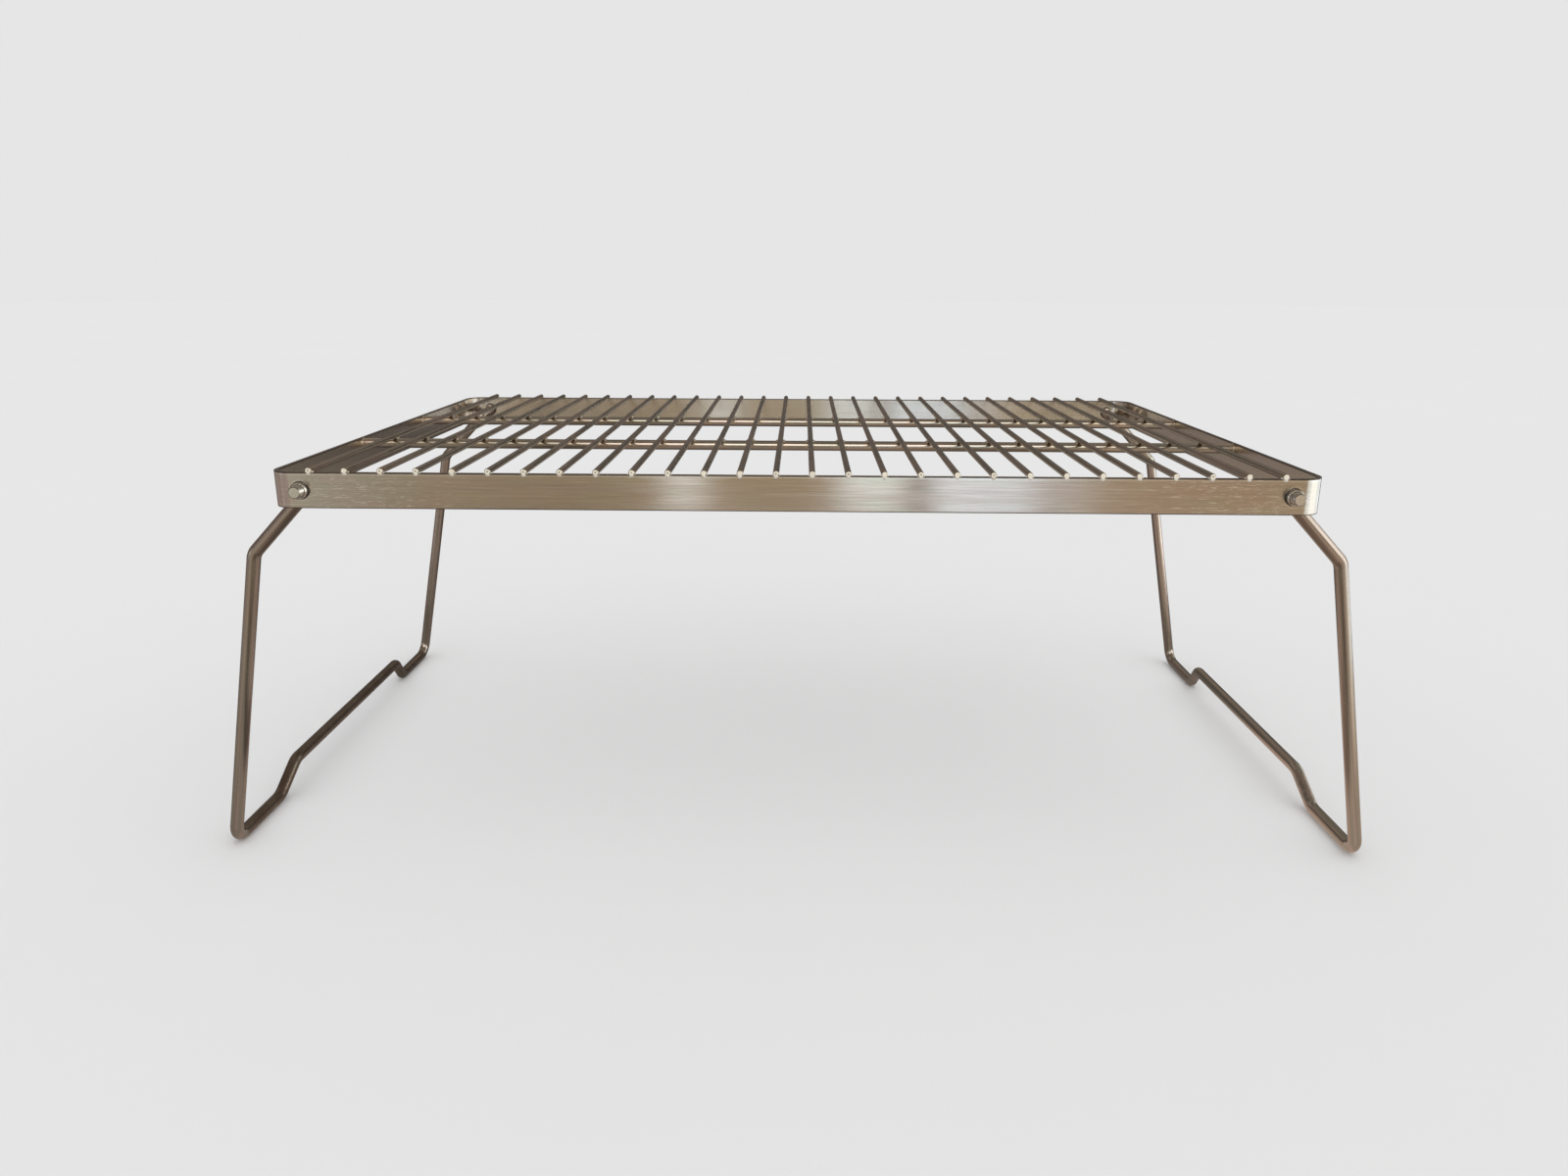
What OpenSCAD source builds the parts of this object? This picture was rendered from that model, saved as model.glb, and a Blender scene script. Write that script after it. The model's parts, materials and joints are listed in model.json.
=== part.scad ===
// Folding camp grill: a welded wire grate in a flat band frame, standing on
// two bent wire legs that swing in under the grate.
// Millimetres, +X right, +Y to the back, +Z up, ground at z = 0.

/* [Frame band] */
// Length of the frame, left to right
band_l = 450; // [360:5:560]
// Depth of the frame, front to back
band_w = 300; // [260:5:400]
// Height of the flat bar that the frame is bent from
band_h = 15.5; // [14:0.5:20]
// Thickness of the flat bar
band_t = 2; // [1.5:0.25:3]
// Outside radius of the frame's corners
corner_r = 10; // [6:0.5:14]

/* [Grate] */
// Number of rods side by side
rod_n = 28; // [16:1:34]
// Diameter of a grate rod
rod_d = 2.7; // [2:0.1:4]
// From the end of the frame to the first rod's axis
rod_margin = 18.5; // [14:0.5:24]
// How deep the welded rods are set into the band's top edge
rod_set = 0.5; // [0.3:0.05:1]
// How far the cut rod ends stand out of the band
rod_proud = 0.3; // [0.1:0.1:1]
// Bevel on the cut rod ends
rod_bevel = 0.3; // [0.1:0.05:0.6]

/* [Cross rods] */
// Diameter of the two rods that carry the grate
cross_d = 5; // [4:0.5:6]
// Distance between the two cross rods
cross_gap = 93; // [60:1:140]
// How deep the grate rods are welded into the cross rods
cross_set = 0.3; // [0.1:0.05:0.6]

/* [Legs] */
// Diameter of the leg wire
leg_d = 6; // [5:0.5:7]
// From the end of the frame to the pivot axis
pivot_inset = 14; // [13:0.5:18]
// From the face of the frame in to the wire's axis
leg_inset = 13; // [12:0.5:18]
// From the pivot to the knee
thigh_len = 43.3; // [36:0.1:60]
// From the knee to the ground
shin_len = 145; // [100:1:170]
// Lean of the shin away from upright, in degrees
shin_splay = 10.8; // [4:0.2:16]
// Length of each foot on the ground
foot_len = 46.5; // [30:0.5:60]
// Length of the slope from a foot up to the raised rail
ramp_run = 16; // [12:0.5:24]
// How far the rail is raised above the feet
rail_rise = 13.8; // [8:0.2:18]
// Radius of the bends, on the wire's axis
bend_r = 8; // [6:0.5:8]
// How much fuller the wire is in a bend, all round
bend_swell = 0.02; // [0.02:0.01:0.05]

/* [Pivots] */
// Diameter of the turned-down peg on each wire end
peg_d = 5.5; // [4:0.25:5.75]
// How far the peg stands out of its collar
peg_tip = 3.8; // [1:0.1:8]
// Bevel on the peg's end
peg_bevel = 0.5; // [0.2:0.1:0.8]
// Number of grooves turned into the peg's tip
groove_n = 3; // [1:1:4]
// Depth of a groove
groove_depth = 0.35; // [0.1:0.05:0.5]
// Outside diameter of the collar pressed on each peg
collar_d = 7.6; // [7:0.1:9]
// Length of the collar
collar_l = 2; // [1:0.25:6]
// Bevel on the collar's outer rim
collar_bevel = 0.6; // [0.2:0.1:0.8]

/* [Clearances] */
// Gap in the welded seats
seat_gap = 0.05; // [0.02:0.01:0.1]
// Gap all round between a peg and its hole
run_gap = 0.05; // [0.02:0.01:0.1]
// Gap all round between a peg and its collar
press_gap = 0.02; // [0.01:0.01:0.04]
// Play along a peg on each side of the band
side_play = 0.15; // [0.05:0.05:0.3]
// Gap between an open leg and the edge that stops it
stop_gap = 0.3; // [0.2:0.05:0.5]

/* [Hidden] */
$fn = 48;
// Past a face, so that a cut comes out clean
through = 1;
// How far straight wire runs on into a bend
lap = 0.3;

// Leg seen from the front, measured from its pivot
leg_r = leg_d / 2;
pivot_x = band_l / 2 - pivot_inset;
pivot_drop = band_h / 2;
stop_x = pivot_inset - band_t;
stop_z = band_h - pivot_drop;
stop_reach = norm([stop_x, stop_z]);
// The thigh leans out until the wire meets the end band's lower inside edge
thigh_lean = acos((leg_r + stop_gap) / stop_reach) - atan2(stop_z, stop_x);
thigh_dir = [sin(thigh_lean), 0, -cos(thigh_lean)];
shin_dir = [sin(shin_splay), 0, -cos(shin_splay)];

// Heights above the ground
heel_z = leg_r + bend_swell;
pivot_z = heel_z - thigh_len * thigh_dir.z - shin_len * shin_dir.z;
band_top = pivot_z + pivot_drop;
band_z = band_top - band_h;
rod_z = band_top - rod_set + rod_d / 2;
cross_z = rod_z - rod_d / 2 + cross_set - cross_d / 2;

// Places along the frame
rod_span = band_l - 2 * rod_margin;
rod_pitch = rod_span / (rod_n - 1);
leg_y = band_w / 2 - leg_inset;
shoulder_y = band_w / 2 - band_t - side_play;
collar_y = band_w / 2 + side_play;
peg_end_y = collar_y + collar_l + peg_tip;
cross_l = band_l - 2 * (band_t + seat_gap);

// Finishes
steel = [0.60, 0.57, 0.52];
steel_rod = [0.50, 0.46, 0.42];
steel_leg = [0.46, 0.42, 0.38];
steel_peg = [0.68, 0.65, 0.60];

function rod_x(i) = (i - (rod_n + 1) / 2) * rod_pitch;
function rod_name(i) = str("grate_rod_", i < 10 ? "0" : "", i);
function side_name(sx) = sx < 0 ? "left" : "right";
function face_name(sy) = sy < 0 ? "front" : "back";
function collar_name(sx, sy) = str("collar_", face_name(sy), "_", side_name(sx));
function leg_name(sx) = str("leg_", side_name(sx));
function cross_name(sy) = str("cross_rod_", face_name(sy));

SIDES = [-1, 1];

// Wire bending

// Length of straight wire that a bend takes up on each side of its corner
function setback(angle) = bend_r * tan(angle / 2);

// Bends wire as a bending machine does, starting along +Z from the origin. Each step
// of the plan feeds a straight length, rolls the wire and bends it towards its own
// +X. The last step only feeds, and what ends the wire is put there.
module bent_wire(plan, i = 0) {
    feed = plan[i][0];
    last = i == len(plan) - 1;
    lap_in = i == 0 ? 0 : lap;
    lap_out = last ? 0 : lap;
    translate([0, 0, -lap_in])
        cylinder(d = leg_d, h = lap_in + feed + lap_out);
    translate([0, 0, feed])
        if (last)
            children();
        else
            rotate([0, 0, plan[i][1]])
                bend(plan[i][2])
                    bent_wire(plan, i + 1)
                        children();
}

// One bend, with the rest of the wire carried on its far end
module bend(angle) {
    translate([bend_r, 0, 0]) {
        rotate([90, 0, 180])
            rotate_extrude(angle = angle)
                translate([bend_r, 0])
                    circle(d = leg_d + 2 * bend_swell);
        rotate([0, angle, 0])
            translate([-bend_r, 0, 0])
                children();
    }
}

// Frame and grate

module rounded_rect(l, w, r) {
    square([l - 2 * r, w], center = true);
    square([l, w - 2 * r], center = true);
    for (sx = SIDES, sy = SIDES)
        translate([sx * (l / 2 - r), sy * (w / 2 - r)])
            circle(r = r);
}

// A cylinder along Y, centred on the frame
module along_y(d, l) {
    rotate([90, 0, 0])
        cylinder(d = d, h = l, center = true);
}

// The grooves that the grate rods are welded into
module rod_seats() {
    for (i = [1:rod_n])
        translate([rod_x(i), 0, rod_z])
            along_y(rod_d + 2 * seat_gap, band_w + 2 * through);
}

module frame_band() {
    color(steel)
    difference() {
        translate([0, 0, band_z])
            linear_extrude(band_h)
                difference() {
                    rounded_rect(band_l, band_w, corner_r);
                    rounded_rect(band_l - 2 * band_t, band_w - 2 * band_t, corner_r - band_t);
                }
        rod_seats();
        for (sx = SIDES)
            translate([sx * pivot_x, 0, pivot_z])
                along_y(peg_d + 2 * run_gap, band_w + 2 * through);
    }
}

module grate_rod(i) {
    half = band_w / 2 + rod_proud;
    color(steel_rod)
    translate([rod_x(i), 0, rod_z])
        rotate([90, 0, 0])
            rotate_extrude()
                polygon([
                    [0, -half],
                    [rod_d / 2 - rod_bevel, -half],
                    [rod_d / 2, -half + rod_bevel],
                    [rod_d / 2, half - rod_bevel],
                    [rod_d / 2 - rod_bevel, half],
                    [0, half]
                ]);
}

module cross_rod(sy) {
    color(steel_rod)
    difference() {
        translate([0, sy * cross_gap / 2, cross_z])
            rotate([0, 90, 0])
                cylinder(d = cross_d, h = cross_l, center = true);
        rod_seats();
    }
}

// Legs

// Corners of the right leg's back half, and the bends at them
knee_turn = thigh_lean - shin_splay;
ramp_turn = atan2(rail_rise, ramp_run);
knee = [pivot_x, leg_y, pivot_z] + thigh_len * thigh_dir;
heel = knee + shin_len * shin_dir;
rail_middle = [heel.x, 0, heel.z] - rail_rise * shin_dir;
rail_half = leg_y - foot_len - ramp_run;

// Half a leg from the middle of its rail to its peg: feed, roll and bend of each step
leg_plan = [
    [rail_half - setback(ramp_turn), 0, ramp_turn],
    [norm([ramp_run, rail_rise]) - 2 * setback(ramp_turn), 180, ramp_turn],
    [foot_len - setback(ramp_turn) - setback(90), 0, 90],
    [shin_len - setback(90) - setback(knee_turn), -90, knee_turn],
    [thigh_len - setback(knee_turn) - setback(90), -90, 90],
    [shoulder_y - leg_y - setback(90)]
];

// Turned-down end of the wire, from its shoulder out through the band and the collar,
// with grooves on the tip that stands out
module peg() {
    r = peg_d / 2;
    length = peg_end_y - shoulder_y;
    tip = length - peg_tip;
    pitch = (peg_tip - peg_bevel) / groove_n;
    grooves = [
        for (k = [0:groove_n - 1], half = [0, 1])
            [r - half * groove_depth, tip + (k + half / 2) * pitch]
    ];
    rotate_extrude()
        polygon(concat(
            [[0, 0], [r, 0]],
            grooves,
            [[r, length - peg_bevel], [r - peg_bevel, length], [0, length]]
        ));
}

module half_leg() {
    translate(rail_middle)
        rotate([0, 90 - shin_splay, 0])
            rotate([-90, 0, 0])
                bent_wire(leg_plan)
                    peg();
}

module leg(sx) {
    color(steel_leg)
    mirror([sx < 0 ? 1 : 0, 0, 0]) {
        half_leg();
        mirror([0, 1, 0])
            half_leg();
    }
}

module collar(sx, sy) {
    bore_r = peg_d / 2 + press_gap;
    color(steel_peg)
    translate([sx * pivot_x, sy * collar_y, pivot_z])
        rotate([-sy * 90, 0, 0])
            rotate_extrude()
                polygon([
                    [bore_r, 0],
                    [collar_d / 2, 0],
                    [collar_d / 2, collar_l - collar_bevel],
                    [collar_d / 2 - collar_bevel, collar_l],
                    [bore_r, collar_l]
                ]);
}

frame_band();
for (sy = SIDES)
    cross_rod(sy);
for (i = [1:rod_n])
    grate_rod(i);
for (sx = SIDES)
    leg(sx);
for (sx = SIDES, sy = SIDES)
    collar(sx, sy);
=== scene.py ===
"""Looks of the folding camp grill: brushed band, drawn rods and legs, weld beads, plain studio.

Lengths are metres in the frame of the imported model: +X right, +Y to the back, +Z up.
"""

import json
import math

import bmesh
import bpy
from mathutils import Matrix, Vector, noise


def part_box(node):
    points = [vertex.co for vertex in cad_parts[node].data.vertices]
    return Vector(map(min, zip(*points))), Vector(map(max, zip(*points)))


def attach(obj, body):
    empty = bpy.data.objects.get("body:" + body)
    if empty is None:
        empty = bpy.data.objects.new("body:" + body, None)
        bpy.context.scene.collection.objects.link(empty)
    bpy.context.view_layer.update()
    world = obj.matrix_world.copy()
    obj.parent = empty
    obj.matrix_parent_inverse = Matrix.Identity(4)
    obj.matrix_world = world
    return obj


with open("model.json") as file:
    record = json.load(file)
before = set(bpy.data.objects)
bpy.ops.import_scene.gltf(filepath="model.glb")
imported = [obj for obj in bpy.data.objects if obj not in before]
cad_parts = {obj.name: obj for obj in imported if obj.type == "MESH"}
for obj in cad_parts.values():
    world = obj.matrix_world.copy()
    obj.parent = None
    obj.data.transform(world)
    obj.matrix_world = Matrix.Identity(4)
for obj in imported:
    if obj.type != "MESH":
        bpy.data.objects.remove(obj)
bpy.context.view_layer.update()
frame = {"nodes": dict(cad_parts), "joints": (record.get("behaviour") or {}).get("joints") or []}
nodes = frame["nodes"]

# Places read from the frame
MM = 0.001
rod_names = sorted(name for name in nodes if name.startswith("grate_rod_"))
cross_names = ("cross_rod_front", "cross_rod_back")
leg_names = ("leg_left", "leg_right")
collar_names = sorted(name for name in nodes if name.startswith("collar_"))
band_low, band_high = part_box("frame_band")
rod_low, rod_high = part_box(rod_names[0])
cross_low, cross_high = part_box("cross_rod_back")
collar_low, collar_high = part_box("collar_front_right")
pivot = Vector(next(j["pos_m"] for j in frame["joints"] if j["name"] == "right_leg_fold"))
rod_r = (rod_high.x - rod_low.x) / 2
rod_z = (rod_high.z + rod_low.z) / 2
rod_first = (rod_high.x + rod_low.x) / 2
rod_pitch = -2 * rod_first / (len(rod_names) - 1)
cross_r = (cross_high.y - cross_low.y) / 2
cross_y = (cross_high.y + cross_low.y) / 2
cross_z = cross_low.z + cross_r
collar_r = (collar_high.x - collar_low.x) / 2

# Sizes that the frame doesn't name
PEG_R = 5.5 * MM / 2
BAND_T = 2 * MM
LEG_PLANE = 137 * MM
KNEE_Z = 145.5 * MM
SHIN_SPLAY = math.radians(10.8)
THIGH_LEAN = math.radians(43.8)


def rod_x(name):
    low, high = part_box(name)
    return (low.x + high.x) / 2


# Node trees

# How far a normal turns at an edge, as the cosine where the edge begins and where it is full
EDGE_TURN = (0.998, 0.93)
EDGE_SAMPLES = 6
RELIEF_STRENGTH = 0.6


def full(colour):
    """A colour as a socket takes it."""
    return (*colour, 1.0) if isinstance(colour, tuple) else colour


def blank_material(name):
    material = bpy.data.materials.new(name)
    material.use_nodes = True
    return material


class Tree:
    """A node tree, with short calls for the nodes that the finishes use."""

    def __init__(self, tree):
        self.tree = tree
        tree.nodes.clear()

    def node(self, kind, inputs=None, **settings):
        made = self.tree.nodes.new("ShaderNode" + kind)
        for name, value in settings.items():
            setattr(made, name, value)
        for name, value in (inputs or {}).items():
            if isinstance(value, bpy.types.NodeSocket):
                self.tree.links.new(value, made.inputs[name])
            else:
                made.inputs[name].default_value = value
        return made

    def math(self, operation, a, b=0.0):
        return self.node("Math", {0: a, 1: b}, operation=operation).outputs[0]

    def times(self, a, b):
        """The product. Of two masks, it is where both are."""
        return self.math("MULTIPLY", a, b)

    def minus(self, a, b):
        return self.math("SUBTRACT", a, b)

    def fade(self, value, start, end, low=0.0, high=1.0):
        """Goes smoothly from low to high as value goes from start to end."""
        ends = {"Value": value, "From Min": start, "From Max": end, "To Min": low, "To Max": high}
        return self.node("MapRange", ends, interpolation_type="SMOOTHSTEP").outputs[0]

    def window(self, value, low, high, soft):
        """One between low and high, and nothing outside them."""
        rise = self.fade(value, low - soft, low + soft)
        fall = self.fade(value, high + soft, high - soft)
        return self.times(rise, fall)

    def colour(self, amount, a, b):
        """The colour a, turning into b."""
        ends = {0: amount, 6: full(a), 7: full(b)}
        return self.node("Mix", ends, data_type="RGBA").outputs[2]

    def number(self, amount, a, b):
        """The number a, turning into b."""
        return self.node("Mix", {0: amount, 2: a, 3: b}, data_type="FLOAT").outputs[0]

    def axes(self, vector):
        return self.node("SeparateXYZ", {0: vector}).outputs

    def vector(self, x, y, z):
        return self.node("CombineXYZ", {0: x, 1: y, 2: z}).outputs[0]

    def grain(self, where, size, detail=3.0):
        """Noise whose features have these lengths along the three axes."""
        scale = [1 / length for length in size]
        mapped = self.node("Mapping", {"Vector": where, "Scale": scale}).outputs[0]
        return self.node("TexNoise", {"Vector": mapped, "Scale": 1.0, "Detail": detail}).outputs[0]

    def away(self, a, b, a_middle, b_middle):
        """Distance of a point from an axis, seen along it."""
        a_part = self.math("POWER", self.minus(a, a_middle), 2.0)
        b_part = self.math("POWER", self.minus(b, b_middle), 2.0)
        return self.math("SQRT", self.math("ADD", a_part, b_part))


class Steel(Tree):
    """One steel finish. Marks are laid over its colour and roughness, and then it is closed."""

    def __init__(self, name):
        self.material = blank_material(name)
        super().__init__(self.material.node_tree)
        places = self.node("TexCoord").outputs
        self.where = places["Object"]
        self.x, self.y, self.z = self.axes(self.where)
        self.facing = self.axes(places["Normal"])
        self.beside = self.math("ABSOLUTE", self.x)
        self.behind = self.math("ABSOLUTE", self.y)
        self.base = None
        self.rough = None

    def mark(self, amount, colour, rough):
        self.base = self.colour(amount, self.base, colour)
        self.rough = self.number(amount, self.rough, rough)

    def edges(self, radius):
        """The normal with rounded edges, and how much of an edge there is."""
        rounded = self.node("Bevel", {"Radius": radius}, samples=EDGE_SAMPLES).outputs[0]
        flat = self.node("NewGeometry").outputs["Normal"]
        turn = self.node("VectorMath", {0: rounded, 1: flat}, operation="DOT_PRODUCT")
        return rounded, self.fade(turn.outputs["Value"], *EDGE_TURN)

    def close(self, height, depth, normal=None, metallic=1.0, anisotropic=0.0, turn=0.0):
        relief = {"Strength": RELIEF_STRENGTH, "Distance": depth, "Height": height}
        if normal:
            relief["Normal"] = normal
        bumped = self.node("Bump", relief).outputs[0]
        shader = self.node("BsdfPrincipled", {
            "Base Color": self.base,
            "Metallic": metallic,
            "Roughness": self.rough,
            "Anisotropic": anisotropic,
            "Anisotropic Rotation": turn,
            "Normal": bumped,
        })
        self.node("OutputMaterial", {"Surface": shader.outputs[0]})
        return self.material


# Finishes

# Colours of steel: bare, then tinted by heat, then rubbed; the darkest is for painted shade and
# dark marks
KHAKI = (0.56, 0.50, 0.41)
ROSE = (0.58, 0.48, 0.41)
OLIVE = (0.44, 0.41, 0.34)
STRAW = (0.66, 0.50, 0.30)
UMBER = (0.36, 0.28, 0.22)
BISTRE = (0.20, 0.15, 0.115)
# Near black, for painted shade and shadow lines, and for dark marks on the cut ends
DARK_SHADE_AND_MARKS = (0.06, 0.05, 0.04)
PALE = (0.74, 0.69, 0.61)
BRIGHT = (0.90, 0.86, 0.79)
CUT = (0.95, 0.88, 0.72)
# Levels of noise that a fade runs between
PATCHY = (0.35, 0.65)
SPREAD = (0.3, 0.7)
LOWER = (0.3, 0.6)
DARK_LINES = (0.48, 0.30)
DARK_RINGS = (0.5, 0.3)


def band_finish():
    """Flat bar brushed lengthwise, rubbed bright round the collars, dark along its edges with
    painted shadow lines, a painted highlight under its top edge and a painted sheen on its inner
    faces.
    """
    s = Steel("band_brushed")
    lines = s.grain(s.where, (45 * MM, 45 * MM, 0.4 * MM), detail=4.0)
    hairs = s.grain(s.where, (14 * MM, 14 * MM, 0.1 * MM), detail=2.0)
    streaks = s.grain(s.where, (90 * MM, 90 * MM, 3.5 * MM))
    clouds = s.grain(s.where, (28 * MM, 28 * MM, 11 * MM))
    s.base = s.colour(s.fade(clouds, *PATCHY), KHAKI, ROSE)
    s.rough = s.fade(streaks, *SPREAD, low=0.14, high=0.20)

    # Brush strokes, which are calmer round the corners
    calm = s.fade(s.beside, 221 * MM, 213 * MM, low=0.25)
    for strokes, levels, share, colour, rough in (
        (lines, (0.50, 0.70), 0.4, PALE, 0.18),
        (lines, DARK_LINES, 0.4, OLIVE, 0.22),
        (hairs, (0.52, 0.70), 0.5, PALE, 0.18),
        (hairs, DARK_LINES, 0.4, OLIVE, 0.22),
    ):
        s.mark(s.times(s.fade(strokes, *levels, high=share), calm), colour, rough)

    # Flecks far out on the outside, and a painted sheen that makes the inner faces paler
    outward = s.math("ADD", s.times(s.x, s.facing[0]), s.times(s.y, s.facing[1]))
    outside = s.fade(outward, 0.0, 30 * MM)
    inside_sheen = s.fade(outward, 0.0, -30 * MM, high=0.5)
    far_out = s.times(s.fade(s.beside, 110 * MM, 195 * MM), s.fade(s.beside, 214 * MM, 206 * MM))
    flecks = s.grain(s.where, (4 * MM, 4 * MM, 0.3 * MM), detail=2.0)
    flecked = s.times(s.fade(flecks, 0.60, 0.68, high=0.8), s.times(far_out, outside))
    s.mark(flecked, BRIGHT, rough=0.25)
    s.mark(inside_sheen, PALE, rough=0.16)

    # A rubbed ring and a shadow line round each collar
    from_peg = s.away(s.beside, s.z, pivot.x, pivot.z)
    rub = s.window(from_peg, collar_r + 0.4 * MM, collar_r + 0.8 * MM, 0.2 * MM)
    shadow = s.fade(from_peg, collar_r + 0.25 * MM, collar_r + 0.05 * MM, high=0.8)
    s.mark(s.times(rub, 0.45), BRIGHT, rough=0.2)
    s.mark(shadow, DARK_SHADE_AND_MARKS, rough=0.4)

    # A painted highlight under the top edge, dark edges and lines, painted shadow lines at the
    # bottom and top, and the top face painted brown as a dark reflection
    rounded, edge = s.edges(0.5 * MM)
    highlight_below_top = s.window(s.z, band_high.z - 1.1 * MM, band_high.z - 0.7 * MM, 0.15 * MM)
    shadow_line_bottom = s.fade(s.z, band_low.z + 0.6 * MM, band_low.z + 0.2 * MM, high=0.85)
    shadow_line_top = s.fade(s.z, band_high.z - 0.55 * MM, band_high.z - 0.4 * MM, high=0.85)
    s.mark(s.times(s.times(highlight_below_top, outside), 0.5), BRIGHT, rough=0.25)
    s.mark(s.times(edge, s.fade(lines, *LOWER, low=0.5, high=0.95)), UMBER, rough=0.4)
    s.mark(shadow_line_bottom, DARK_SHADE_AND_MARKS, rough=0.4)
    s.mark(s.times(shadow_line_top, s.fade(s.facing[2], 0.8, 0.4)), DARK_SHADE_AND_MARKS, rough=0.4)
    s.mark(s.fade(s.facing[2], 0.4, 0.8, high=0.6), UMBER, rough=0.3)

    height = s.times(s.math("ADD", lines, s.times(hairs, 0.4)), calm)
    return s.close(height, 0.007 * MM, rounded, anisotropic=0.9, turn=0.25)


def rod_finish(name, stretch, rough, cut_at=None):
    """Drawn rod: die lines along it, straw tints at its welds, and bright where it is cut."""
    smooth, dull = rough
    s = Steel(name)
    lines = s.grain(s.where, [0.5 * MM * c for c in stretch], detail=2.0)
    patches = s.grain(s.where, [8 * MM * math.sqrt(math.sqrt(c)) for c in stretch])
    s.base = s.colour(s.fade(patches, *PATCHY), OLIVE, ROSE)
    s.rough = s.fade(patches, *SPREAD, low=smooth, high=dull)
    s.mark(s.fade(lines, *DARK_LINES, high=0.35), UMBER, dull)
    s.mark(s.fade(lines, 0.56, 0.72, high=0.25), PALE, smooth)

    # The nearest rod's number, and how far to the right of its axis the point is
    from_first = s.minus(s.x, rod_first)
    number = s.math("ROUND", s.times(from_first, 1 / rod_pitch))
    across = s.minus(from_first, s.times(number, rod_pitch))

    # Heat of the welds on the band and at the crossings, and painted shade underneath
    from_crossing = s.away(across, s.minus(s.behind, cross_y), 0.0, 0.0)
    at_band = s.fade(s.behind, band_high.y - 8 * MM, band_high.y - 2 * MM)
    heat = s.math("MAXIMUM", at_band, s.fade(from_crossing, 6 * MM, 2 * MM))
    s.mark(s.times(heat, s.fade(patches, *LOWER, low=0.05, high=0.3)), STRAW, dull)
    s.mark(s.fade(s.facing[2], -0.35, -0.65, high=0.6), DARK_SHADE_AND_MARKS, rough=0.4)

    # Saw marks on the cut ends, with a dark rim, and a dark dot on some
    metallic = 1.0
    if cut_at:
        cut = s.fade(s.behind, cut_at - 0.06 * MM, cut_at)
        from_axis = s.away(across, s.z, 0.0, rod_z)
        some = s.node("TexWhiteNoise", {"W": number}, noise_dimensions="1D").outputs["Value"]
        rings = s.grain(s.vector(from_axis, s.times(number, 0.1), 0.0), (0.3 * MM, 1 * MM, 1.0))
        rim = s.fade(from_axis, rod_r - 0.3 * MM, rod_r - 0.1 * MM, high=0.85)
        dot = s.times(
            s.fade(from_axis, 0.5 * MM, 0.25 * MM),
            s.fade(some, 0.45, 0.55, low=0.1, high=0.8),
        )
        sawn = s.fade(rings, *DARK_RINGS, high=0.4)
        s.mark(cut, CUT, rough=0.5)
        for mark, colour in ((sawn, KHAKI), (rim, DARK_SHADE_AND_MARKS), (dot, DARK_SHADE_AND_MARKS)):
            s.mark(s.times(cut, mark), colour, rough=0.5)
        metallic = s.number(cut, 1.0, 0.25)
    return s.close(lines, 0.02 * MM, metallic=metallic)


def leg_finish():
    """Drawn wire: its die lines follow the thigh, the shin, and what runs front to back."""
    s = Steel("leg_wire")
    above_knee = s.fade(s.z, KNEE_Z - 1 * MM, KNEE_Z + 1 * MM)
    upright = s.window(s.behind, LEG_PLANE - 3.5 * MM, LEG_PLANE + 3.5 * MM, 0.5 * MM)

    def turned(a, b, side):
        """The axis a, turned towards b as the shin is below the knee, and the thigh above it."""
        below, above = (
            s.math("ADD", s.times(a, math.cos(angle)), s.times(b, math.sin(angle)))
            for angle in (side * SHIN_SPLAY, side * THIGH_LEAN)
        )
        return s.number(above_knee, below, above)

    in_plane = s.vector(turned(s.beside, s.z, 1), s.y, turned(s.z, s.beside, -1))

    def drawn(width, length):
        up = s.grain(in_plane, (width, width, length), detail=4.0)
        level = s.grain(s.where, (width, length, width), detail=4.0)
        return s.number(upright, level, up)

    lines = drawn(0.8 * MM, 60 * MM)
    stripes = drawn(2.6 * MM, 140 * MM)
    patches = s.grain(s.where, (12 * MM, 12 * MM, 12 * MM))
    s.base = s.colour(s.fade(stripes, 0.40, 0.60), OLIVE, ROSE)
    s.rough = s.fade(patches, *SPREAD, low=0.16, high=0.26)
    s.mark(s.fade(lines, *DARK_LINES, high=0.35), UMBER, rough=0.30)
    s.mark(s.fade(lines, 0.58, 0.74, high=0.25), PALE, rough=0.22)

    # Painted shade on the left rail and its feet, a brown tint at the top of all but the back
    # right wire, and wear where the feet stand
    low = s.fade(s.z, 24 * MM, 19 * MM)
    between_shins = s.fade(s.behind, LEG_PLANE - 3 * MM, LEG_PLANE - 10 * MM)
    shaded_left_rail = s.times(s.times(low, between_shins), s.fade(s.x, 0.0, -10 * MM))
    tinted = s.fade(s.math("MINIMUM", s.x, s.y), 10 * MM, -10 * MM)
    on_ground = s.fade(s.z, 1.6 * MM, 0.4 * MM)
    s.mark(s.times(shaded_left_rail, s.fade(patches, *PATCHY, low=0.8)), BISTRE, rough=0.28)
    s.mark(s.times(tinted, s.fade(s.z, 80 * MM, 125 * MM, high=0.5)), UMBER, rough=0.26)
    s.mark(s.times(on_ground, s.fade(patches, *LOWER, low=0.3, high=0.9)), PALE, rough=0.45)

    # Turned pegs, with painted shade in their grooves
    peg = s.fade(s.behind, band_high.y - 1 * MM, band_high.y)
    from_axis = s.away(s.beside, s.z, pivot.x, pivot.z)
    rings = s.grain(s.vector(from_axis, s.y, 0.0), (0.5 * MM, 0.5 * MM, 1.0))
    groove = s.fade(from_axis, PEG_R - 0.1 * MM, PEG_R - 0.3 * MM, high=0.55)
    on_side = s.fade(s.math("ABSOLUTE", s.facing[1]), 0.9, 0.7)
    s.mark(peg, PALE, rough=0.26)
    s.mark(s.times(peg, s.fade(rings, *DARK_RINGS, high=0.5)), OLIVE, rough=0.34)
    s.mark(s.times(s.times(peg, groove), on_side), DARK_SHADE_AND_MARKS, rough=0.4)
    return s.close(s.number(peg, lines, rings), 0.03 * MM)


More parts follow.
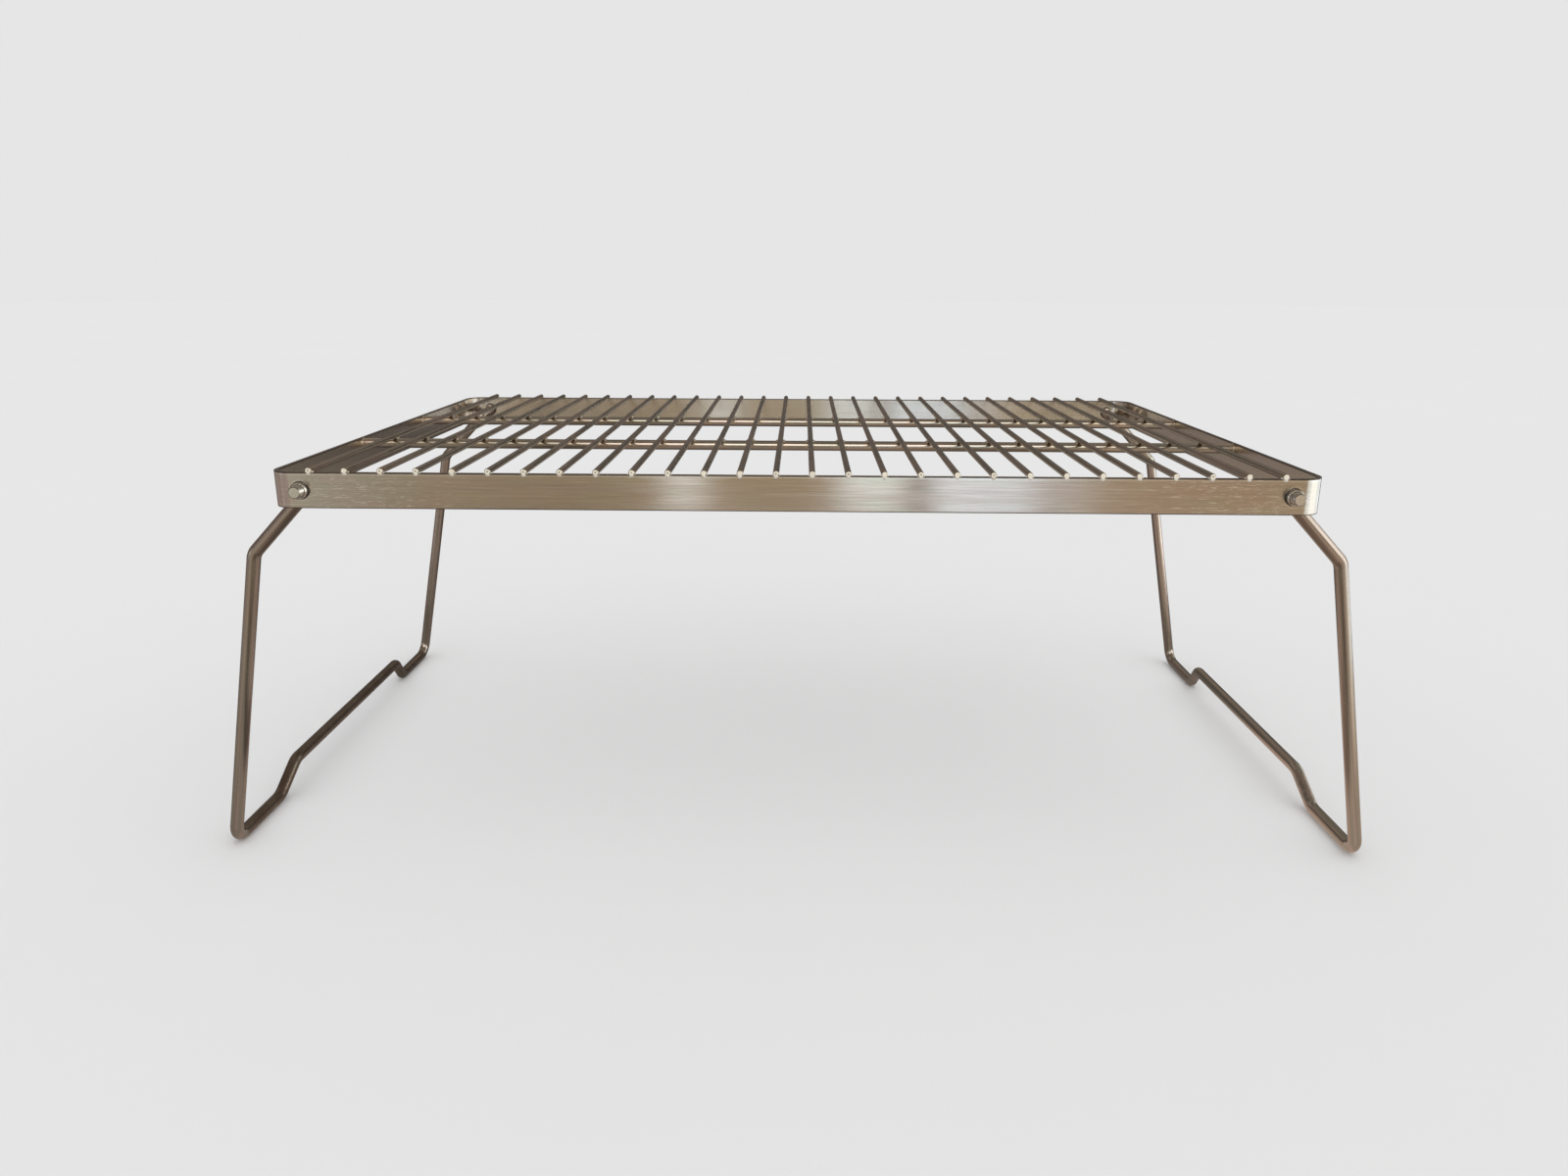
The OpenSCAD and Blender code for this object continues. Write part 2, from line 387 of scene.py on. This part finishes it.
def collar_finish():
    """Turned ring: tool marks round its axis, a painted highlight on its bevel, painted shade at
    its rim and its bore.
    """
    s = Steel("collar_turned")
    from_peg = s.away(s.beside, s.z, pivot.x, pivot.z)
    rings = s.grain(s.vector(from_peg, s.y, 0.0), (0.35 * MM, 0.35 * MM, 1.0), detail=4.0)
    patches = s.grain(s.where, (3 * MM, 3 * MM, 3 * MM))
    s.base = s.colour(s.fade(patches, *PATCHY), KHAKI, PALE)
    s.rough = s.fade(patches, *SPREAD, low=0.20, high=0.34)
    s.mark(s.fade(rings, 0.48, 0.32, high=0.6), UMBER, rough=0.36)
    rounded, edge = s.edges(0.25 * MM)
    rim = s.fade(from_peg, collar_r - 0.2 * MM, collar_r - 0.05 * MM, high=0.9)
    bore = s.fade(from_peg, PEG_R + 0.3 * MM, PEG_R + 0.1 * MM, high=0.9)
    # A painted highlight on the bevel, then painted shade on the outer side and in the bore
    s.mark(s.times(edge, 0.5), PALE, rough=0.25)
    s.mark(rim, DARK_SHADE_AND_MARKS, rough=0.35)
    s.mark(bore, DARK_SHADE_AND_MARKS, rough=0.4)
    return s.close(rings, 0.02 * MM, rounded)


def weld_finish(name, light, dark, metallic):
    """Cooled weld metal: uneven, with straw and brown tints."""
    s = Steel(name)
    ripples = s.grain(s.where, (0.5 * MM, 0.5 * MM, 0.5 * MM), detail=4.0)
    patches = s.grain(s.where, (2.5 * MM, 2.5 * MM, 2.5 * MM))
    s.base = s.colour(s.fade(patches, *PATCHY), light, dark)
    s.rough = s.fade(ripples, *SPREAD, low=0.42, high=0.60)
    s.mark(s.fade(patches, 0.56, 0.70, high=0.4), STRAW, rough=0.40)
    s.mark(s.fade(ripples, 0.40, 0.28, high=0.7), UMBER, rough=0.50)
    return s.close(ripples, 0.08 * MM, metallic=metallic)


def dress(names, material):
    for name in names:
        for slot in nodes[name].material_slots:
            slot.material = material


# How much longer a die line is than it is wide, along each axis
ALONG_Y = (1, 800, 1)
ALONG_X = (800, 1, 1)
dress(["frame_band"], band_finish())
dress(rod_names, rod_finish("grate_rod_drawn", ALONG_Y, (0.24, 0.32), cut_at=rod_high.y))
cross_steel = rod_finish("cross_rod_drawn", ALONG_X, (0.15, 0.22))
dress(cross_names, cross_steel)
dress(leg_names, leg_finish())
dress(collar_names, collar_finish())
end_weld = weld_finish("weld_bright", BRIGHT, PALE, metallic=0.5)
cross_weld = weld_finish("weld_dull", PALE, KHAKI, metallic=0.9)


# Weld beads

# Half sizes of the lumps: beside a rod on the band, down the band's face, at a crossing
LIP_SIZE = (0.55 * MM, 1.05 * MM, 0.45 * MM)
DRIP_SIZE = (1.0 * MM, 0.4 * MM, 0.9 * MM)
FILLET_SIZE = (0.95 * MM, 1.4 * MM, 0.7 * MM)
# Where their middles are: out from the rod's axis, down from the band's top and how much that
# varies, and how far they are sunk into the face that they lie on
LIP_OUT = 1.25 * MM
FILLET_OUT = 1.5 * MM
DRIP_DOWN = 0.35 * MM
DRIP_RUN = 0.25 * MM
SUNK = 0.1 * MM
# Rings of weld: radius of the bead, how far its middle is off the end band, and points round
# the rod and round the bead
RING_THICK = 0.55 * MM
RING_OFF = 0.1 * MM
RING_AROUND = 36
RING_SECTION = 10
# How uneven lumps and rings are, and how fast that varies
LUMP_UNEVEN, LUMP_WAVES = 0.25, 1.6
RING_UNEVEN, RING_WAVES = 0.35, 2.5
# Steps between the seeds of the two faces and of a rod's two sides, and in noise for one seed
FACE_SEED = 40
SIDE_SEED = 7
LUMP_STEP = (3.1, 1.7, 0.0)
RING_STEP = (5.3, 0.0, 0.0)
DRIP_STEP = (0.7, 0.0, 0.0)


def noise_place(seed, step):
    """Where in the noise a seed's own part begins."""
    return Vector([seed * c for c in step])


def lump(bm, middle, size, seed):
    """One bead of weld metal: rounded, and uneven as it cooled."""
    shift = noise_place(seed, LUMP_STEP)
    for vert in bmesh.ops.create_icosphere(bm, subdivisions=3, radius=1.0)["verts"]:
        swell = 1 + LUMP_UNEVEN * noise.noise(vert.co * LUMP_WAVES + shift)
        vert.co = middle + Vector([c * s * swell for c, s in zip(vert.co, size)])


def ring_bead(bm, middle, radius, seed):
    """A bead of weld metal round a rod that runs along X."""
    shift = noise_place(seed, RING_STEP)
    rows = []
    for i in range(RING_AROUND):
        turn = math.tau * i / RING_AROUND
        out = Vector((0, math.cos(turn), math.sin(turn)))
        here = RING_THICK * (1 + RING_UNEVEN * noise.noise(out * RING_WAVES + shift))
        row = []
        for j in range(RING_SECTION):
            roll = math.tau * j / RING_SECTION
            offset = out * (math.cos(roll) * here) + Vector((math.sin(roll) * here, 0, 0))
            row.append(bm.verts.new(middle + out * radius + offset))
        rows.append(row)
    for i, row in enumerate(rows):
        ahead = rows[(i + 1) % RING_AROUND]
        for j in range(RING_SECTION):
            k = (j + 1) % RING_SECTION
            bm.faces.new((row[j], row[k], ahead[k], ahead[j]))


def new_piece(name, bm, material):
    """An object in the scene, with a mesh made in bm."""
    mesh = bpy.data.meshes.new(name)
    bm.to_mesh(mesh)
    bm.free()
    mesh.materials.append(material)
    piece = bpy.data.objects.new(name, mesh)
    bpy.context.scene.collection.objects.link(piece)
    return piece


def weld_piece(name, fill, material):
    """A piece made of weld beads, which fill puts into a mesh. It rides on the grate."""
    bm = bmesh.new()
    fill(bm)
    bmesh.ops.recalc_face_normals(bm, faces=bm.faces)
    piece = new_piece(name, bm, material)
    piece.data.shade_smooth()
    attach(piece, "grate")


def end_beads(sy):
    """Metal pressed out on both sides of each rod on the band, and run down the band's face."""
    def fill(bm):
        for i, name in enumerate(rod_names):
            x = rod_x(name)
            seed = i + FACE_SEED * sy
            run = DRIP_RUN * noise.noise(noise_place(seed, DRIP_STEP))
            for side in (-1, 1):
                lip = Vector((x + side * LIP_OUT, sy * (band_high.y - BAND_T / 2), band_high.z))
                lump(bm, lip, LIP_SIZE, seed + SIDE_SEED * side)
            drip = Vector((x, sy * (band_high.y - SUNK), band_high.z - DRIP_DOWN + run))
            lump(bm, drip, DRIP_SIZE, seed)
    return fill


def cross_beads(sy):
    """A fillet on each side of each rod where it lies on a cross rod."""
    def fill(bm):
        for i, name in enumerate(rod_names):
            x = rod_x(name)
            for side in (-1, 1):
                seat = Vector((x + side * FILLET_OUT, sy * cross_y, cross_z + cross_r - SUNK))
                lump(bm, seat, FILLET_SIZE, i + FACE_SEED * sy + SIDE_SEED * side)
    return fill


def cross_end_beads(bm):
    """A ring of weld where each cross rod meets the end bands."""
    for sx in (-1, 1):
        for sy in (-1, 1):
            seat = Vector((sx * (band_high.x - BAND_T - RING_OFF), sy * cross_y, cross_z))
            ring_bead(bm, seat, cross_r, sx + 3 * sy)


for sy, face in ((-1, "front"), (1, "back")):
    weld_piece("rod_end_welds_" + face, end_beads(sy), end_weld)
    weld_piece("cross_welds_" + face, cross_beads(sy), cross_weld)
weld_piece("cross_end_welds", cross_end_beads, cross_steel)


# Camera of the photograph, fitted to it: place, turns in degrees and focal length
CAMERA_AT = Vector((2.75, -607.6, 265.7)) * MM
CAMERA_YAW = 0.85
CAMERA_PITCH = 15.92
CAMERA_ROLL = -0.25
CAMERA_NEAREST = 10 * MM
FOCAL_PIXELS = 1117.0
IMAGE_WIDTH = 1600
SENSOR_MM = 36.0

# The studio. What the steel mirrors far off, as bearings from the front and heights, both in
# degrees, how soft its edges are and its colour. Bearings are positive to the right.
ROOM_DARK = (0.105, 0.093, 0.088)
ROOM_BOTH_SIDES = (
    ("ground and wall in front", (-20, 42), (-100, 14), 5, (0.50, 0.43, 0.31)),
    ("ceiling behind", (95, 158), (24, 62), 8, (0.42, 0.385, 0.34)),
    ("ceiling at the sides", (35, 118), (42, 82), 6, (0.24, 0.20, 0.17)),
    ("ceiling overhead", (0, 180), (64, 100), 8, (0.30, 0.27, 0.24)),
    ("wall behind, high", (160, 190), (16, 45), 4, (0.26, 0.235, 0.20)),
    ("ground behind", (140, 190), (-80, -16), 2, (0.46, 0.41, 0.34)),
)
ROOM = (
    ("wall behind, left", (-172, -120), (-30, 25), 6, (0.15, 0.128, 0.118)),
    ("wall behind, left, low", (-176, -120), (-30, -5), 3, (0.27, 0.225, 0.20)),
    ("left wall, upper", (-120, -38), (-8.5, 30), 3, (0.23, 0.20, 0.19)),
    ("left window, far", (-75, -63), (-3, 7), 2, (1.6, 1.75, 1.75)),
    ("left wall, near", (-60, -38), (-8.5, 30), 3, (0.40, 0.365, 0.355)),
    ("left wall, lower", (-120, -38), (-40, -8.5), 3, (0.55, 0.48, 0.47)),
    ("front wall, left", (-38, -21), (-60, 16), 3, (0.56, 0.56, 0.51)),
    ("front wall, right", (17, 38), (-60, 16), 4, (0.50, 0.40, 0.29)),
    ("front wall, left, upper", (-24, -8), (-6, 12), 3, (0.22, 0.19, 0.15)),
    ("right wall, upper", (38, 132), (-8.5, 45), 3, (0.46, 0.43, 0.40)),
    ("right window, low", (40, 132), (-40, -17), 4, (2.4, 2.5, 2.6)),
    ("right window, middle", (40, 132), (-17, -8.5), 4, (1.95, 2.2, 2.45)),
    ("right window, far", (56, 97), (-8.5, 22), 3, (2.0, 2.1, 2.15)),
    ("right window, near", (44, 60), (3, 22), 2, (2.0, 2.1, 2.15)),
    ("right window, end", (110, 132), (12, 22), 2, (2.0, 2.1, 2.15)),
    ("lamp above the front", (-24, 20), (10, 42), 2, (2.35, 2.32, 2.24)),
    ("lamp above the front, dim end", (-40, -12), (8, 44), 4, (0.95, 0.85, 0.75)),
)
# The window in front of the grill. Its panes are bearings from the camera as the front band
# mirrors them: over the way to the band and back out to the window, which is its reach.
WINDOW_Y = -0.91
WINDOW_SIDES = (-0.25, 0.45)
WINDOW_FOOT = -0.5
WINDOW_TOP = 0.33
WINDOW_TOP_SOFT = 0.05
WINDOW_REACH = 1.218
PANES = (
    ("left", (-7.2, -5.0), 0.7, (1.14, 1.23, 1.27)),
    ("frame", (1.9, 14.8), 1.0, (0.72, 0.74, 0.76)),
    ("inner pane", (2.1, 5.7), 0.6, (1.22, 1.38, 1.48)),
    ("outer pane", (7.0, 12.2), 0.6, (1.22, 1.43, 1.66)),
    ("outer pane, bright side", (7.0, 8.6), 0.6, (1.45, 1.68, 1.97)),
    ("bar", (5.7, 6.9), 0.5, (0.30, 0.26, 0.21)),
)
# What the wires mirror close by, on the table
TABLE_R = 0.75
TABLE_Z = -1 * MM
TABLE_LEFT_HALF = (0.36, 0.31, 0.28)
TABLE_RIGHT_HALF = (0.56, 0.46, 0.40)
TABLE_IN_FRONT = (0.16, 0.125, 0.095)
TABLE_NEAR_EDGE = (0.55, 0.49, 0.42)
TABLE_WINDOW = (1.12, 1.00, 0.88)
TABLE_BACK = (0.19, 0.17, 0.155)
TABLE_FAR_BACK = (0.10, 0.078, 0.065)
TABLE_BEHIND = (0.46, 0.41, 0.34)
TABLE_UNDER_LEFT = (0.13, 0.11, 0.10)
TABLE_UNDER_RIGHT = (0.27, 0.215, 0.18)
# The floor, the backdrop and their light, with angles in degrees
FILL = (0.92, 0.92, 0.92)
BACKDROP = (0.79, 0.79, 0.79)
FLOOR = (0.79, 0.79, 0.79)
FLOOR_SPREAD = 1.01
FLOOR_GRAIN = 0.4
FLOOR_R = 12.0
DISC_SEGMENTS = 96
KEY_SHARE = 0.10
KEY_ANGLE = 60
KEY_TURN = (18, 24, 0)


def room_light():
    """Even light for the floor, and a warm room in the mirror of the steel."""
    world = bpy.data.worlds.new("studio")
    world.use_nodes = True
    world.cycles.sampling_method = "NONE"
    t = Tree(world.node_tree)
    x, y, z = t.axes(t.node("TexCoord").outputs["Generated"])
    bearing = t.math("DEGREES", t.math("ARCTAN2", x, t.times(y, -1.0)))
    height = t.math("DEGREES", t.math("ARCSINE", z))
    mirrored = ROOM_DARK
    for turn, things in ((t.math("ABSOLUTE", bearing), ROOM_BOTH_SIDES), (bearing, ROOM)):
        for _, bearings, heights, soft, colour in things:
            seen = t.times(t.window(turn, *bearings, soft), t.window(height, *heights, soft))
            mirrored = t.colour(seen, mirrored, colour)
    rays = t.node("LightPath").outputs
    lit = t.colour(rays["Is Glossy Ray"], FILL, mirrored)
    lit = t.colour(rays["Is Camera Ray"], lit, BACKDROP)
    background = t.node("Background", {"Color": lit})
    t.node("OutputWorld", {"Surface": background.outputs[0]})
    bpy.context.scene.world = world


def key_light():
    """A wide soft light from above, to the right and in front, for the shadows on the floor."""
    lamp = bpy.data.lights.new("key", "SUN")
    lamp.energy = KEY_SHARE * math.pi
    lamp.angle = math.radians(KEY_ANGLE)
    key = bpy.data.objects.new("key", lamp)
    key.rotation_euler = [math.radians(a) for a in KEY_TURN]
    key.visible_glossy = False
    bpy.context.scene.collection.objects.link(key)


def stage_piece(name, bm, material):
    """A piece of the studio."""
    piece = new_piece(name, bm, material)
    return piece


def stage_disc(name, radius, height, material):
    """A flat round piece of the studio."""
    bm = bmesh.new()
    bmesh.ops.create_circle(bm, cap_ends=True, segments=DISC_SEGMENTS, radius=radius)
    bmesh.ops.translate(bm, vec=(0, 0, height), verts=bm.verts)
    return stage_piece(name, bm, material)


def gloss_only(piece):
    """Leaves a piece of the studio to be seen in the mirror of the steel alone."""
    piece.visible_camera = False
    piece.visible_diffuse = False
    piece.visible_shadow = False
    piece.visible_transmission = False


def floor():
    """A plain pale floor. The steel mirrors the table card, not the floor."""
    material = blank_material("floor_paper")
    t = Tree(material.node_tree)
    shade = t.grain(t.node("TexCoord").outputs["Object"], (FLOOR_GRAIN, FLOOR_GRAIN, FLOOR_GRAIN))
    paper = t.colour(t.fade(shade, 0.2, 0.8), FLOOR, tuple(c * FLOOR_SPREAD for c in FLOOR))
    diffuse = t.node("BsdfDiffuse", {"Color": paper})
    t.node("OutputMaterial", {"Surface": diffuse.outputs[0]})
    stage_disc("floor", FLOOR_R, 0.0, material).visible_glossy = False


def table_card():
    """The table as the wires mirror it: dim behind, brighter to the right. Only gloss sees it."""
    material = blank_material("table_card")
    t = Tree(material.node_tree)
    x, y, _ = t.axes(t.node("TexCoord").outputs["Object"])
    beside = t.math("ABSOLUTE", x)
    in_front = t.times(t.fade(y, -0.26, -0.32), t.fade(beside, 0.26, 0.20))
    off_legs = t.fade(t.window(beside, 0.13, 0.32, 0.02), 1.0, 0.0)
    near_edge = t.times(t.window(y, -0.55, -0.40, 0.03), off_legs)
    by_window = t.times(t.fade(x, 0.30, 0.55), t.fade(y, -0.12, -0.30))
    back_left = t.times(t.fade(x, -0.25, -0.29), t.fade(y, -0.18, -0.05))
    under = t.window(y, -0.30, -0.05, 0.03)
    seen = t.colour(t.fade(x, -0.10, 0.15), TABLE_LEFT_HALF, TABLE_RIGHT_HALF)
    for place, colour in (
        (in_front, TABLE_IN_FRONT),
        (near_edge, TABLE_NEAR_EDGE),
        (by_window, TABLE_WINDOW),
        (back_left, TABLE_BACK),
        (t.fade(y, -0.02, 0.12), TABLE_BACK),
        (t.fade(y, 0.16, 0.28), TABLE_FAR_BACK),
        (t.fade(y, 0.40, 0.50), TABLE_BEHIND),
        (t.times(under, t.window(x, -0.205, -0.145, 0.015)), TABLE_UNDER_LEFT),
        (t.times(under, t.window(x, 0.085, 0.215, 0.02)), TABLE_UNDER_RIGHT),
    ):
        seen = t.colour(place, seen, colour)
    glow = t.node("Emission", {"Color": seen})
    t.node("OutputMaterial", {"Surface": glow.outputs[0]})
    gloss_only(stage_disc("table_card", TABLE_R, TABLE_Z, material))


def window_card():
    """The window that the front and back bands mirror. Only gloss sees it."""
    material = blank_material("window_card")
    t = Tree(material.node_tree)
    x, _, z = t.axes(t.node("TexCoord").outputs["Object"])
    out = t.math("DIVIDE", t.minus(x, CAMERA_AT.x), WINDOW_REACH)
    bearing = t.math("DEGREES", t.math("ARCTANGENT", out))
    seen = PANES[0][3]
    there = 0.0
    for _, bearings, soft, colour in PANES:
        pane = t.window(bearing, *bearings, soft)
        seen = t.colour(pane, seen, colour)
        there = t.math("MAXIMUM", there, pane)
    there = t.times(there, t.fade(z, WINDOW_TOP, WINDOW_TOP - WINDOW_TOP_SOFT))
    glow = t.node("Emission", {"Color": seen})
    clear = t.node("BsdfTransparent")
    mixed = t.node("MixShader", {0: there, 1: clear.outputs[0], 2: glow.outputs[0]})
    t.node("OutputMaterial", {"Surface": mixed.outputs[0]})
    left, right = WINDOW_SIDES
    corners = (
        (left, WINDOW_FOOT), (right, WINDOW_FOOT), (right, WINDOW_TOP), (left, WINDOW_TOP),
    )
    bm = bmesh.new()
    bm.faces.new([bm.verts.new((x, WINDOW_Y, z)) for x, z in corners])
    gloss_only(stage_piece("window_card", bm, material))


def camera():
    """The camera of the photograph, without its lens distortion."""
    yaw, pitch, roll = (math.radians(a) for a in (CAMERA_YAW, CAMERA_PITCH, CAMERA_ROLL))
    level_part = math.cos(pitch)
    ahead = Vector((-math.sin(yaw) * level_part, math.cos(yaw) * level_part, -math.sin(pitch)))
    level = Vector((math.cos(yaw), math.sin(yaw), 0))
    down = ahead.cross(level)
    right = math.cos(roll) * level + math.sin(roll) * down
    up = math.sin(roll) * level - math.cos(roll) * down
    lens = bpy.data.cameras.new("photo_camera")
    lens.sensor_width = SENSOR_MM
    lens.lens = FOCAL_PIXELS / IMAGE_WIDTH * SENSOR_MM
    lens.clip_start = CAMERA_NEAREST
    eye = bpy.data.objects.new("photo_camera", lens)
    turn = Matrix((right, up, -ahead)).transposed().to_4x4()
    eye.matrix_world = Matrix.Translation(CAMERA_AT) @ turn
    bpy.context.scene.collection.objects.link(eye)
    bpy.context.scene.camera = eye


bpy.context.scene.view_settings.view_transform = "Standard"
room_light()
key_light()
floor()
table_card()
window_card()
camera()
